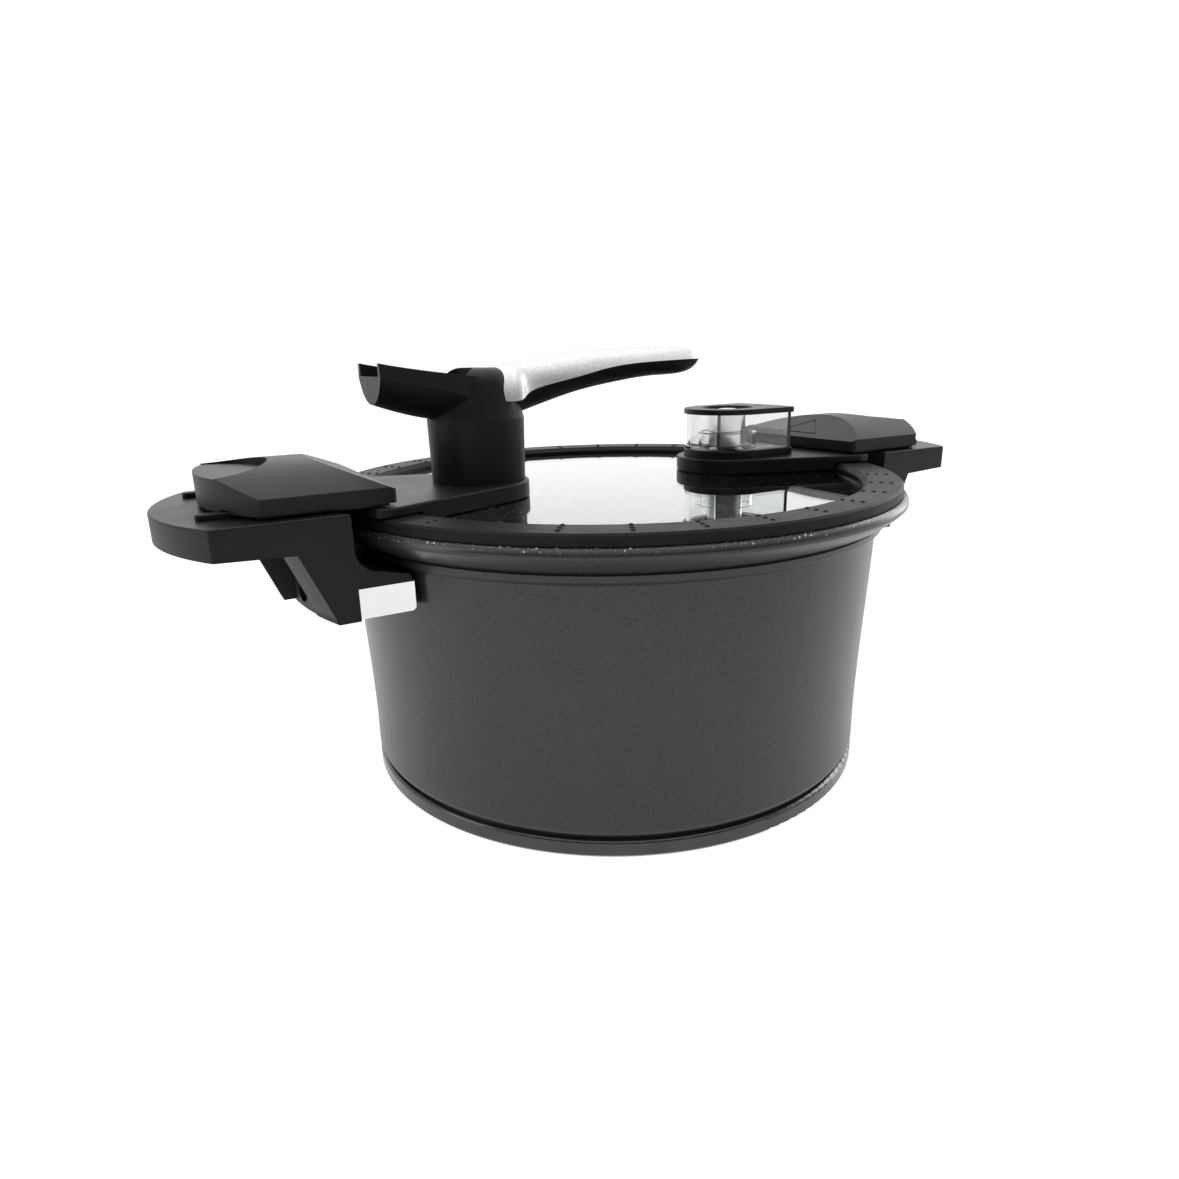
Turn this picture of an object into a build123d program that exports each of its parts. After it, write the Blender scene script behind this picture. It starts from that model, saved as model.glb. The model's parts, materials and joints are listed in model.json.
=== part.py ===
"""Low-pressure stovetop cooker: pot, side handles with sliding locks, glass lid, lid handle and valve.

Frame: +Z up, origin at the middle of the base, on the surface it stands on.
The side handles lie along X. The lid handle's post is at -X and the valve at +X. Millimetres.
Heights below are measured from the datum, which is DATUM_Z above the worktop; finish() adds it.
"""
from build123d import *
from math import acos, atan2, cos, hypot, radians, sin, sqrt
import os

os.makedirs("parts", exist_ok=True)

# ---- driving dimensions ------------------------------------------------------------------
# pot
DATUM_Z = 2.8             # height of the datum above the worktop
BASE_R = 118.0            # heat-spreading disc under the pot, flush with the wall
BASE_H = 4.2
POT_WALL_R = 118.0        # outside of the wall near the bottom
POT_TOP_R = 121.4         # outside of the wall just under the bead
CORNER_Z = 8.6            # where the rounded bottom corner meets the wall
BEAD_R = 124.2
BEAD_Z = 106.8
COVE_Z = 111.8            # bottom of the concave flange
RIM_R = 134.0
RIM_Z = 122.6
SEAT_Z = 118.2            # ledge that the lid's gasket rests on
SEAT_R = 130.6
MOUTH_R = 118.8           # inside of the wall at the top
WALL = 3.2
FLOOR = 4.5

# lid
GLASS_R = 126.3
GLASS_Z = 120.0           # underside of the glass
GLASS_T = 4.0
GASKET_TOP = 127.3
GASKET_IN_R = 115.0
GASKET_OUT_R = 131.6
DOT_ROWS = (118.2, 122.3, 126.4)
DOT_GROUPS = 32
DOT_R = 1.25

# bridges on the glass (one carries the handle, the other the valve)
BRIDGE_Z = 131.2          # top face
BRIDGE_END_X = 71.0       # centre of the round inner end
BRIDGE_END_R = 25.4
TONGUE_HALF = 46.0
TONGUE_X = 120.0          # where the flare ends
TONGUE_R = 133.3          # outer end, concentric with the pot
TONGUE_T = 3.2
PAD_T = 0.6               # soft pad between bridge and glass

# side handles and locks
SLAB_TOP = 131.2
SLAB_BOTTOM_IN = 118.9
SLAB_BOTTOM_OUT = 120.0
SLAB_HALF = 47.7
SLAB_CORNER_X = 180.4
SLAB_APEX_X = 196.0
HANDLE_IN_R = 143.1       # inner face, concentric with the pot
LEG_FOOT_R = 151.4
LEG_TOP_R = 161.3
LEG_Z = 91.8
LEG_CHEEK = 14.6
WEB_R = 150.0
RIB_HALF = 3.5
RIB_FOOT_X = 154.0
RIB_TOP_X = 165.0
ARM_TOP_Z = 107.6         # top of the arm that reaches the pot
ARM_END_X = 114.8         # inner end of the arm, beside the pot's wall
GUARD_Z = 92.6            # chrome flame guard round the arm's underside and sides
GUARD_TOP_Z = 103.8
GUARD_T = 0.8
GUARD_WING_X = 114.4      # inner end of the guard's side wings
LUG_HALF = 30.0           # lug on the pot's wall, inside the arm
LUG_Z = (95.4, 102.6)
LUG_R = 136.0
SCREW_Y = 17.0
SCREW_X = 144.8           # seat of the handle screws' heads
RAIL_Y = 28.0
RAIL_W = 4.0
RAIL_H = 2.2
RAIL_IN_X = 144.0
RAIL_END_X = 182.5

LOCK_IN_X = 116.3
LOCK_CORNER_X = 163.2
LOCK_APEX_X = 179.2
LOCK_HALF = 43.2
LOCK_SKIRT_Z = 132.7
LOCK_SIDE_Z = 138.3       # where the crowned top meets the side
LOCK_CROWN_Z = 147.5
LOCK_FACET_Z = 137.5      # low edge of the sloping inner facet
LOCK_FACET_X = 139.8      # where the facet meets the crown
LOCK_BASE_Z = 131.55
LOCK_SEAM_Z = 136.0
LOCK_TRAVEL = 15.0
THUMB_R = 25.4
THUMB_FLOOR_Z = 144.2

# lid handle
POST_X = -66.9
POST_TOP_Z = 157.5
BOLT_R = 4.0

# valve
VALVE_X = 71.0
VALVE_R = 21.7            # half width of the guard and its round end
VALVE_END_R = 99.0        # outer end, concentric with the pot
VALVE_RING_Z = 134.9
VALVE_PLATE_Z = 152.4
VALVE_PLATE_T = 2.6
VALVE_HOLE_R = 13.3
GUARD_WALL_IN = 1.3       # how far the clear wall stands in from the ring's edge
WEIGHT_R = 9.3
NOZZLE_TIP_Z = 137.0
NOZZLE_R = 6.0            # stem that passes through the glass
CAP_Z = 106.5             # bottom of the cap round the nozzle's inlet

# parts that clamp the bridges to the glass
BRIDGE_SCREW_R = 2.0
CLAMP_PAD_T = 0.8
CLAMP_T = 1.4
CLAMP_Z = GLASS_Z - CLAMP_PAD_T - CLAMP_T


def finish(part, label):
    """Lift one finished piece onto the worktop, label it and write its file."""
    placed = Pos(0, 0, DATUM_Z) * part
    placed.label = label
    export_step(placed, f"parts/{label}.step")


def finish_pair(part, label):
    """A piece on the +X side and its mirror image on the -X side."""
    finish(part, f"right_{label}")
    finish(mirror(part, about=Plane.YZ), f"left_{label}")


# ---- pot ---------------------------------------------------------------------------------
def pot_outline():
    """Outer edge of the pot's wall and flange, from the base up to the lip."""
    wall = Spline(
        (POT_WALL_R, CORNER_Z),
        (POT_WALL_R + 0.3, 40.0),
        (POT_WALL_R + 1.7, 70.0),
        (POT_TOP_R, BEAD_Z),
    )
    Line(wall @ 1, (BEAD_R - 0.6, BEAD_Z + 1.4))
    Line((BEAD_R - 0.6, BEAD_Z + 1.4), (BEAD_R, BEAD_Z + 2.0))
    Line((BEAD_R, BEAD_Z + 2.0), (BEAD_R, COVE_Z - 0.8))
    Line((BEAD_R, COVE_Z - 0.8), (BEAD_R - 0.8, COVE_Z - 0.4))
    Line((BEAD_R - 0.8, COVE_Z - 0.4), (BEAD_R - 0.4, COVE_Z))
    ThreePointArc((BEAD_R - 0.4, COVE_Z), (128.6, 114.3), (RIM_R, 119.0))
    ThreePointArc((RIM_R, 119.0), (RIM_R - 0.35, 121.4), (RIM_R - 1.8, RIM_Z))
    return wall


with BuildPart() as pot_body:
    with BuildSketch(Plane.XZ):
        with BuildLine():
            pot_wall = pot_outline()
            Line((RIM_R - 1.8, RIM_Z), (SEAT_R + 0.6, RIM_Z))
            Line((SEAT_R + 0.6, RIM_Z), (SEAT_R, RIM_Z - 0.6))
            Line((SEAT_R, RIM_Z - 0.6), (SEAT_R, SEAT_Z))
            Line((SEAT_R, SEAT_Z), (MOUTH_R, SEAT_Z))
            Line((MOUTH_R, SEAT_Z), (POT_WALL_R - WALL, 30.0))
            RadiusArc((POT_WALL_R - WALL, 30.0), (POT_WALL_R - WALL - 17.0, BASE_H + FLOOR), 22.0)
            Line((POT_WALL_R - WALL - 17.0, BASE_H + FLOOR), (0, BASE_H + FLOOR))
            Line((0, BASE_H + FLOOR), (0, BASE_H))
            Line((0, BASE_H), (POT_WALL_R - 2.6, BASE_H))
            Line((POT_WALL_R - 2.6, BASE_H), (POT_WALL_R - 2.6, BASE_H + 0.6))
            RadiusArc((POT_WALL_R - 2.6, BASE_H + 0.6), pot_wall @ 0, -4.6)
        make_face()
    revolve(axis=Axis.Z)
finish(pot_body.part, "pot_body")

with BuildPart() as base_disc:
    with BuildSketch(Plane.XZ):
        with BuildLine():
            Polyline((0, BASE_H), (0, -DATUM_Z), (BASE_R - 1.2, -DATUM_Z))
            RadiusArc((BASE_R - 1.2, -DATUM_Z), (BASE_R, 1.2 - DATUM_Z), -1.2)
            Line((BASE_R, 1.2 - DATUM_Z), (BASE_R, BASE_H - 1.4))
            RadiusArc((BASE_R, BASE_H - 1.4), (BASE_R - 1.4, BASE_H), -1.4)
            Line((BASE_R - 1.4, BASE_H), (0, BASE_H))
        make_face()
    revolve(axis=Axis.Z)
finish(base_disc.part, "base_disc")

# solid that everything fixed to the pot's wall is trimmed with
with BuildPart() as pot_envelope:
    with BuildSketch(Plane.XZ):
        with BuildLine():
            trim_wall = pot_outline()
            Polyline((RIM_R - 1.8, RIM_Z), (0, RIM_Z), (0, CORNER_Z), trim_wall @ 0)
        make_face()
    revolve(axis=Axis.Z)

# ---- side handle on +X -------------------------------------------------------------------
SLAB_IN_X = sqrt(HANDLE_IN_R**2 - SLAB_HALF**2)
BOTTOM_SLOPE = (SLAB_BOTTOM_OUT - SLAB_BOTTOM_IN) / (SLAB_CORNER_X - 154.0)
SCREW_Z = sum(LUG_Z) / 2
LOCK_SCREW_Y = 14.0
LOCK_SCREW_X = 155.0
LOCK_SCREW_HEAD_R = 4.6
LOCK_SCREW_R = 2.25
CHANNEL_Z = 121.5         # roof of the channels that the lock screws' heads run in


def slab_outline():
    """Plan of the handle's top: straight sides, bowed outer end, inner end concentric with the pot."""
    Line((SLAB_IN_X, SLAB_HALF), (SLAB_CORNER_X, SLAB_HALF))
    ThreePointArc((SLAB_CORNER_X, SLAB_HALF), (SLAB_APEX_X, 0), (SLAB_CORNER_X, -SLAB_HALF))
    Line((SLAB_CORNER_X, -SLAB_HALF), (SLAB_IN_X, -SLAB_HALF))
    ThreePointArc((SLAB_IN_X, -SLAB_HALF), (HANDLE_IN_R, 0), (SLAB_IN_X, SLAB_HALF))


def leg_wall():
    """Half section of the leg: upright inner face, outer face sloping down and in."""
    Polyline(
        (HANDLE_IN_R, LEG_Z),
        (LEG_FOOT_R - 0.8, LEG_Z),
        (LEG_FOOT_R, LEG_Z + 0.8),
        (LEG_FOOT_R, LEG_Z + 2.4),
        (LEG_TOP_R + 0.15, SLAB_BOTTOM_IN + 0.5),
        (HANDLE_IN_R, SLAB_BOTTOM_IN + 0.5),
        close=True,
    )


with BuildPart() as leg:
    with BuildSketch(Plane.XZ):
        with BuildLine():
            leg_wall()
        make_face()
    revolve(axis=Axis.Z)
    with BuildSketch(Plane.XY.offset(LEG_Z)):
        with Locations((150.0, 0)):
            Rectangle(60.0, 2 * SLAB_HALF)
    extrude(amount=40.0, mode=Mode.INTERSECT)
    # pockets between the cheeks and the middle rib
    pocket_span = SLAB_HALF - LEG_CHEEK - RIB_HALF
    with BuildSketch(Plane.XY.offset(LEG_Z - 1.0)):
        Circle(LEG_TOP_R + 20.0)
        Circle(WEB_R, mode=Mode.SUBTRACT)
        with Locations((155.0, RIB_HALF + pocket_span / 2), (155.0, -RIB_HALF - pocket_span / 2)):
            Rectangle(60.0, pocket_span, mode=Mode.INTERSECT)
    extrude(amount=SLAB_BOTTOM_IN - LEG_Z + 1.0, mode=Mode.SUBTRACT)
    # the middle rib reaches further out than the cheeks
    with BuildSketch(Plane.XZ):
        with BuildLine():
            Polyline(
                (WEB_R - 2.0, LEG_Z),
                (RIB_FOOT_X, LEG_Z),
                (RIB_TOP_X, SLAB_BOTTOM_IN + 0.5),
                (WEB_R - 2.0, SLAB_BOTTOM_IN + 0.5),
                close=True,
            )
        make_face()
    extrude(amount=RIB_HALF, both=True)

# arm from the foot of the leg to the pot's wall, stepped in where the flame guard wraps it
with BuildPart() as arm:
    with BuildSketch(Plane.XZ):
        with BuildLine():
            Polyline(
                (SLAB_IN_X, ARM_TOP_Z + 10.4),
                (HANDLE_IN_R + 1.0, ARM_TOP_Z + 10.4),
                (HANDLE_IN_R + 1.0, GUARD_Z + GUARD_T),
                (ARM_END_X, GUARD_Z + GUARD_T),
                (ARM_END_X, ARM_TOP_Z - 3.0),
                (ARM_END_X + 1.2, ARM_TOP_Z - 0.8),
                (SLAB_IN_X - 9.0, ARM_TOP_Z + 1.6),
            )
            ThreePointArc(
                (SLAB_IN_X - 9.0, ARM_TOP_Z + 1.6),
                (SLAB_IN_X - 2.7, ARM_TOP_Z + 4.2),
                (SLAB_IN_X, ARM_TOP_Z + 10.4),
            )
        make_face()
    extrude(amount=SLAB_HALF, both=True)
    with BuildSketch(Plane.XY.offset(GUARD_Z)):
        Circle(HANDLE_IN_R + 0.5)
    extrude(amount=40.0, mode=Mode.INTERSECT)
    with BuildSketch(Plane.XY.offset(GUARD_Z - 1.0)):
        Circle(HANDLE_IN_R)
        with Locations((124.0, 0)):
            Rectangle(60.0, 2 * SLAB_HALF - 2 * GUARD_T, mode=Mode.SUBTRACT)
    extrude(amount=GUARD_TOP_Z - GUARD_Z + 1.0, mode=Mode.SUBTRACT)
    add(pot_envelope.part, mode=Mode.SUBTRACT)

with BuildPart() as side_handle:
    # top slab, its underside rising outwards
    with BuildSketch(Plane.XY.offset(SLAB_BOTTOM_IN)):
        with BuildLine():
            slab_outline()
        make_face()
    extrude(amount=SLAB_TOP - SLAB_BOTTOM_IN)
    with BuildSketch(Plane.XZ):
        with BuildLine():
            Polyline(
                (154.0, SLAB_BOTTOM_IN),
                (200.0, SLAB_BOTTOM_IN + 46.0 * BOTTOM_SLOPE),
                (200.0, 100.0),
                (154.0, 100.0),
                close=True,
            )
        make_face()
    extrude(amount=60.0, both=True, mode=Mode.SUBTRACT)
    fillet(side_handle.edges().filter_by(Axis.Z).filter_by_position(Axis.X, 170.0, 200.0), radius=1.4)
    fillet(side_handle.faces().sort_by(Axis.Z)[-1].edges(), radius=0.8)
    # guide rails for the lock
    with BuildSketch(Plane.XY.offset(SLAB_TOP - 0.5)):
        with Locations(((RAIL_END_X + RAIL_IN_X) / 2, RAIL_Y), ((RAIL_END_X + RAIL_IN_X) / 2, -RAIL_Y)):
            SlotOverall(RAIL_END_X - RAIL_IN_X, RAIL_W)
    extrude(amount=RAIL_H + 0.5)
    fillet(side_handle.faces().filter_by(Axis.Z).sort_by(Axis.Z)[-2:].edges(), radius=0.7)
    add(leg.part)
    add(arm.part)
    # pocket for the lug, clearance holes and spot faces for the screws
    with BuildSketch(Plane.XY.offset(LUG_Z[0] - 0.15)):
        Circle(LUG_R + 0.15)
        with Locations((120.0, 0)):
            Rectangle(60.0, 2 * LUG_HALF + 0.3, mode=Mode.INTERSECT)
    extrude(amount=LUG_Z[1] - LUG_Z[0] + 0.3, mode=Mode.SUBTRACT)
    with BuildSketch(Plane.YZ.offset(LUG_R - 8.0)):
        with Locations((SCREW_Y, SCREW_Z), (-SCREW_Y, SCREW_Z)):
            Circle(2.6)
    extrude(amount=30.0, mode=Mode.SUBTRACT)
    with BuildSketch(Plane.YZ.offset(SCREW_X)):
        with Locations((SCREW_Y, SCREW_Z), (-SCREW_Y, SCREW_Z)):
            Circle(5.2)
    extrude(amount=30.0, mode=Mode.SUBTRACT)
    # slots and channels for the lock screws
    slot_x = LOCK_SCREW_X + LOCK_TRAVEL / 2
    with BuildSketch(Plane.XY.offset(CHANNEL_Z - 8.0)):
        with Locations((slot_x, LOCK_SCREW_Y), (slot_x, -LOCK_SCREW_Y)):
            SlotOverall(LOCK_TRAVEL + 2 * LOCK_SCREW_HEAD_R + 0.8, 2 * LOCK_SCREW_HEAD_R + 0.8)
    extrude(amount=8.0, mode=Mode.SUBTRACT)
    with BuildSketch(Plane.XY.offset(CHANNEL_Z)):
        with Locations((slot_x, LOCK_SCREW_Y), (slot_x, -LOCK_SCREW_Y)):
            SlotOverall(LOCK_TRAVEL + 2 * LOCK_SCREW_R + 0.6, 2 * LOCK_SCREW_R + 0.6)
    extrude(amount=20.0, mode=Mode.SUBTRACT)
finish_pair(side_handle.part, "side_handle")

with BuildPart() as pot_lug:
    with BuildSketch(Plane.XY.offset(LUG_Z[0])):
        Circle(LUG_R)
        with Locations((125.0, 0)):
            Rectangle(60.0, 2 * LUG_HALF, mode=Mode.INTERSECT)
    extrude(amount=LUG_Z[1] - LUG_Z[0])
    add(pot_envelope.part, mode=Mode.SUBTRACT)
    with BuildSketch(Plane.YZ.offset(125.0)):
        with Locations((SCREW_Y, SCREW_Z), (-SCREW_Y, SCREW_Z)):
            Circle(2.55)
    extrude(amount=30.0, mode=Mode.SUBTRACT)
finish_pair(pot_lug.part, "pot_lug")

with BuildPart() as flame_guard:
    with BuildSketch(Plane.YZ.offset(100.0)):
        with Locations((0, GUARD_Z)):
            Rectangle(2 * SLAB_HALF, GUARD_TOP_Z - GUARD_Z, align=(Align.CENTER, Align.MIN))
        with Locations((0, GUARD_Z + GUARD_T)):
            Rectangle(
                2 * (SLAB_HALF - GUARD_T),
                GUARD_TOP_Z,
                align=(Align.CENTER, Align.MIN),
                mode=Mode.SUBTRACT,
            )
    extrude(amount=50.0)
    with BuildSketch(Plane.XY.offset(GUARD_Z - 1.0)):
        Circle(HANDLE_IN_R)
    extrude(amount=20.0, mode=Mode.INTERSECT)
    # side wings stop short of the pot's wall, with a rounded lower corner
    with BuildSketch(Plane.XZ):
        with Locations((GUARD_WING_X + 20.0, GUARD_TOP_Z)):
            RectangleRounded(40.0, 2 * (GUARD_TOP_Z - GUARD_Z), radius=1.8)
    extrude(amount=60.0, both=True, mode=Mode.INTERSECT)
    add(pot_envelope.part, mode=Mode.SUBTRACT)
finish_pair(flame_guard.part, "flame_guard")

with BuildPart() as handle_screws:
    with BuildSketch(Plane.YZ.offset(SCREW_X)):
        with Locations((SCREW_Y, SCREW_Z), (-SCREW_Y, SCREW_Z)):
            Circle(4.6)
    extrude(amount=2.6)
    fillet(handle_screws.faces().sort_by(Axis.X)[-2:].edges(), radius=1.2)
    with BuildSketch(Plane.YZ.offset(SCREW_X)):
        with Locations((SCREW_Y, SCREW_Z), (-SCREW_Y, SCREW_Z)):
            Circle(2.5)
    extrude(amount=-19.0)
    # cross recess
    with BuildSketch(Plane.YZ.offset(SCREW_X + 1.4)):
        with Locations((SCREW_Y, SCREW_Z), (-SCREW_Y, SCREW_Z)):
            Rectangle(4.4, 0.9)
            Rectangle(0.9, 4.4)
    extrude(amount=3.0, mode=Mode.SUBTRACT)
finish_pair(handle_screws.part, "handle_screws")


# ---- sliding lock on +X ------------------------------------------------------------------
FACET_SLOPE = (LOCK_CROWN_Z - LOCK_FACET_Z) / (LOCK_FACET_X - LOCK_IN_X)


def lock_outline(inset=0.0):
    """Plan of the lock: straight inner end and sides, bowed outer end."""
    Polyline(
        (LOCK_CORNER_X - inset, LOCK_HALF - inset),
        (LOCK_IN_X + inset, LOCK_HALF - inset),
        (LOCK_IN_X + inset, -LOCK_HALF + inset),
        (LOCK_CORNER_X - inset, -LOCK_HALF + inset),
    )
    ThreePointArc(
        (LOCK_CORNER_X - inset, -LOCK_HALF + inset),
        (LOCK_APEX_X - inset, 0),
        (LOCK_CORNER_X - inset, LOCK_HALF - inset),
    )


with BuildPart() as lock_cover:
    with BuildSketch(Plane.XY.offset(LOCK_SKIRT_Z)):
        with BuildLine():
            lock_outline()
        make_face()
    extrude(amount=30.0)
    fillet(lock_cover.edges().filter_by(Axis.Z).group_by(Axis.X)[0], radius=2.6)
    fillet(lock_cover.edges().filter_by(Axis.Z).group_by(Axis.X)[-1], radius=1.0)
    # crowned top
    with BuildSketch(Plane.YZ.offset(LOCK_IN_X - 5.0)):
        with BuildLine():
            Polyline((-44.0, LOCK_SIDE_Z - 0.2), (-44.0, 120.0), (44.0, 120.0), (44.0, LOCK_SIDE_Z - 0.2))
            ThreePointArc((44.0, LOCK_SIDE_Z - 0.2), (0, LOCK_CROWN_Z), (-44.0, LOCK_SIDE_Z - 0.2))
        make_face()
    extrude(amount=80.0, mode=Mode.INTERSECT)
    # facet that slopes down to the inner end
    with BuildSketch(Plane.XZ):
        with BuildLine():
            Polyline(
                (LOCK_IN_X - 10.0, LOCK_FACET_Z - 10.0 * FACET_SLOPE),
                (LOCK_IN_X + 40.0, LOCK_FACET_Z + 40.0 * FACET_SLOPE),
                (LOCK_IN_X - 10.0, LOCK_FACET_Z + 40.0 * FACET_SLOPE),
                close=True,
            )
        make_face()
    extrude(amount=60.0, both=True, mode=Mode.SUBTRACT)
    fillet(lock_cover.edges().group_by(Axis.Z)[-1].sort_by(Axis.X)[0], radius=0.6)
    # thumb recess with a flat floor
    with BuildSketch(Plane.XY.offset(THUMB_FLOOR_Z)):
        with Locations((LOCK_APEX_X - 0.6, 0)):
            Circle(THUMB_R)
    extrude(amount=10.0, mode=Mode.SUBTRACT)
    # engraved triangle that points the way the lock opens
    facet_plane = Plane(
        origin=(LOCK_IN_X + 10.0, 0, LOCK_FACET_Z + 10.0 * FACET_SLOPE),
        x_dir=(1, 0, FACET_SLOPE),
        z_dir=(-FACET_SLOPE, 0, 1),
    )
    with BuildSketch(facet_plane):
        Polygon((-6.5, -14.5), (8.5, 0), (-6.5, 14.5), align=None)
        Polygon((-5.7, -12.6), (7.3, 0), (-5.7, 12.6), align=None, mode=Mode.SUBTRACT)
    extrude(amount=-0.4, mode=Mode.SUBTRACT)
    # inside: room for the base plate, and a hollow under the crown
    with BuildSketch(Plane.XY.offset(LOCK_SKIRT_Z - 1.0)):
        with Locations(((LOCK_IN_X + 2.4 + LOCK_CORNER_X + 1.2) / 2, 0)):
            Rectangle(LOCK_CORNER_X - LOCK_IN_X - 1.2, 2 * (LOCK_HALF - 2.4))
    extrude(amount=LOCK_SEAM_Z - LOCK_SKIRT_Z + 1.0, mode=Mode.SUBTRACT)
    with BuildSketch(Plane.XY.offset(LOCK_SKIRT_Z - 1.0)):
        with Locations((LOCK_CORNER_X + 1.2 + 15.0, 0)):
            Rectangle(30.0, 2 * LOCK_HALF + 4.0)
    extrude(amount=LOCK_SEAM_Z - LOCK_SKIRT_Z + 1.0, mode=Mode.SUBTRACT)
    with BuildSketch(Plane.YZ.offset(LOCK_FACET_X)):
        with BuildLine():
            Line((-37.0, LOCK_SEAM_Z - 1.0), (37.0, LOCK_SEAM_Z - 1.0))
            Line((37.0, LOCK_SEAM_Z - 1.0), (37.0, LOCK_SEAM_Z + 0.6))
            ThreePointArc((37.0, LOCK_SEAM_Z + 0.6), (0, 141.6), (-37.0, LOCK_SEAM_Z + 0.6))
            Line((-37.0, LOCK_SEAM_Z + 0.6), (-37.0, LOCK_SEAM_Z - 1.0))
        make_face()
    extrude(amount=25.0, mode=Mode.SUBTRACT)
    # bosses for the screws
    with BuildSketch(Plane.XY.offset(LOCK_SEAM_Z)):
        with Locations((LOCK_SCREW_X, LOCK_SCREW_Y), (LOCK_SCREW_X, -LOCK_SCREW_Y)):
            Circle(4.8)
    extrude(amount=6.0)
    with BuildSketch(Plane.XY.offset(LOCK_SEAM_Z - 1.0)):
        with Locations((LOCK_SCREW_X, LOCK_SCREW_Y), (LOCK_SCREW_X, -LOCK_SCREW_Y)):
            Circle(LOCK_SCREW_R + 0.05)
    extrude(amount=6.0, mode=Mode.SUBTRACT)
finish_pair(lock_cover.part, "lock_cover")

with BuildPart() as lock_base:
    with BuildSketch(Plane.XY.offset(LOCK_BASE_Z)):
        with Locations(((LOCK_IN_X + 2.6 + LOCK_CORNER_X + 1.2) / 2, 0)):
            Rectangle(LOCK_CORNER_X - LOCK_IN_X - 1.4, 2 * (LOCK_HALF - 2.6))
    extrude(amount=LOCK_SEAM_Z - LOCK_BASE_Z)
    # outer lip, flush with the cover's end
    with BuildSketch(Plane.XY.offset(LOCK_SKIRT_Z)):
        with BuildLine():
            lock_outline()
        make_face()
        with Locations((LOCK_CORNER_X + 1.2 - 50.0, 0)):
            Rectangle(100.0, 100.0, mode=Mode.SUBTRACT)
    extrude(amount=LOCK_SEAM_Z - LOCK_SKIRT_Z)
    with BuildSketch(Plane.XY.offset(LOCK_BASE_Z)):
        with BuildLine():
            lock_outline(2.6)
        make_face()
        with Locations((LOCK_CORNER_X - 50.0, 0)):
            Rectangle(100.0, 100.0, mode=Mode.SUBTRACT)
    extrude(amount=LOCK_SEAM_Z - LOCK_BASE_Z)
    # grooves that ride on the rails
    with BuildSketch(Plane.XY.offset(LOCK_BASE_Z - 1.0)):
        groove_in = RAIL_IN_X - LOCK_TRAVEL - 0.6
        groove_x = (groove_in + LOCK_APEX_X + 5.0) / 2
        with Locations((groove_x, RAIL_Y), (groove_x, -RAIL_Y)):
            Rectangle(LOCK_APEX_X + 5.0 - groove_in, RAIL_W + 0.8)
    extrude(amount=SLAB_TOP + RAIL_H + 0.4 - LOCK_BASE_Z + 1.0, mode=Mode.SUBTRACT)
    with BuildSketch(Plane.XY.offset(LOCK_BASE_Z - 1.0)):
        with Locations((LOCK_SCREW_X, LOCK_SCREW_Y), (LOCK_SCREW_X, -LOCK_SCREW_Y)):
            Circle(LOCK_SCREW_R + 0.05)
    extrude(amount=10.0, mode=Mode.SUBTRACT)
finish_pair(lock_base.part, "lock_base")

with BuildPart() as lock_screws:
    with BuildSketch(Plane.XY.offset(CHANNEL_Z - 0.3 - 3.0)):
        with Locations((LOCK_SCREW_X, LOCK_SCREW_Y), (LOCK_SCREW_X, -LOCK_SCREW_Y)):
            Circle(LOCK_SCREW_HEAD_R)
    extrude(amount=3.0)
    fillet(lock_screws.faces().sort_by(Axis.Z)[:2].edges(), radius=1.0)
    with BuildSketch(Plane.XY.offset(CHANNEL_Z - 0.3)):
        with Locations((LOCK_SCREW_X, LOCK_SCREW_Y), (LOCK_SCREW_X, -LOCK_SCREW_Y)):
            Circle(LOCK_SCREW_R)
    extrude(amount=LOCK_SEAM_Z + 4.4 - CHANNEL_Z + 0.3)
finish_pair(lock_screws.part, "lock_screws")


# ---- lid: glass and gasket ---------------------------------------------------------------
BRIDGE_SCREW_X = 105.0

with BuildPart() as glass_lid:
    with BuildSketch(Plane.XY.offset(GLASS_Z)):
        Circle(GLASS_R)
    extrude(amount=GLASS_T)
    chamfer(glass_lid.edges(), length=0.5)
    with BuildSketch(Plane.XY.offset(GLASS_Z)):
        with Locations((VALVE_X, 0)):
            Circle(NOZZLE_R + 0.3)
        with Locations((POST_X, 0)):
            Circle(BOLT_R + 0.3)
        with Locations((BRIDGE_SCREW_X, 0), (-BRIDGE_SCREW_X, 0)):
            Circle(BRIDGE_SCREW_R + 0.3)
    extrude(amount=GLASS_T, mode=Mode.SUBTRACT)
finish(glass_lid.part, "glass_lid")

with BuildPart() as rim_gasket:
    with BuildSketch(Plane.XZ):
        with BuildLine():
            Polyline(
                (GASKET_OUT_R - 0.8, GASKET_TOP),
                (GASKET_OUT_R, GASKET_TOP - 0.8),
                (GASKET_OUT_R, RIM_Z + 0.3),
                (SEAT_R - 0.3, RIM_Z + 0.3),
                (SEAT_R - 0.3, SEAT_Z),
                (GASKET_IN_R + 0.6, SEAT_Z),
                (GASKET_IN_R + 0.6, GLASS_Z),
                (GLASS_R + 0.1, GLASS_Z),
                (GLASS_R + 0.1, GLASS_Z + GLASS_T),
                (GASKET_IN_R, GLASS_Z + GLASS_T),
                (GASKET_IN_R, GLASS_Z + GLASS_T + 1.3),
                (GASKET_IN_R + 2.0, GASKET_TOP),
                close=True,
            )
        make_face()
    revolve(axis=Axis.Z)
    # raised dots, three in a row from the middle outwards
    with Locations(Plane.XY.offset(GASKET_TOP - 0.65)):
        for row in DOT_ROWS:
            with PolarLocations(row, DOT_GROUPS, start_angle=180.0 / DOT_GROUPS):
                Sphere(DOT_R)
finish(rim_gasket.part, "rim_gasket")


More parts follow.
